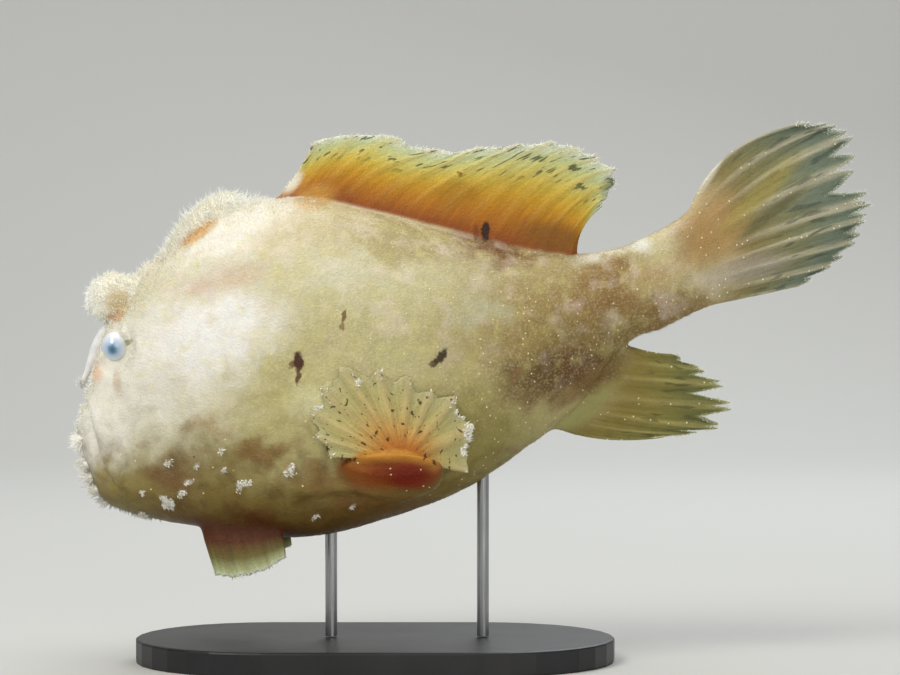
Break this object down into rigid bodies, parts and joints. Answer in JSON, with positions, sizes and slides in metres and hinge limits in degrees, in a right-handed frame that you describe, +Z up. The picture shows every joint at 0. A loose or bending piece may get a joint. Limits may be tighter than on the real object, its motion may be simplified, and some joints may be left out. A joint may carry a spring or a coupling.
{
  "type": "frogfish model",
  "caption": "Life-size frogfish with spread fins, arm-like pectorals, warty head spines and a lure, held swimming over an oval base by two short rods.",
  "frame": {"origin": "centre of the stand base's underside", "axes": "+Z up, +X towards the tail fin, -Y the fish's left side, which faces the picture's camera"},
  "size_m": [0.1983, 0.066, 0.1348],
  "materials": {
    "skin": "cream to olive-yellow prickly fish skin, matt, with brown spots",
    "fin": "ribbed fin skin, orange at the root to pale yellow-green at the rim",
    "eye": "wet milky blue-white eyeball",
    "base": "satin black",
    "rod": "fine brushed"
  },
  "bodies": {
    "root": {"head": "skin", "lower_jaw": "skin", "trunk": "skin", "tail_stalk": "skin", "dorsal_spine_second": "skin", "dorsal_spine_third": "skin", "illicium": "skin", "dorsal_fin": "fin", "anal_fin": "fin", "caudal_fin": "fin", "pectoral_arm_left": "skin", "pectoral_arm_right": "skin", "pectoral_fan_left": "fin", "pectoral_fan_right": "fin", "pelvic_fin_left": "fin", "pelvic_fin_right": "fin", "eye_left": "eye", "eye_right": "eye", "stand_base": "base", "stand_rod_front": "rod", "stand_rod_rear": "rod"}
  },
  "joints": []
}
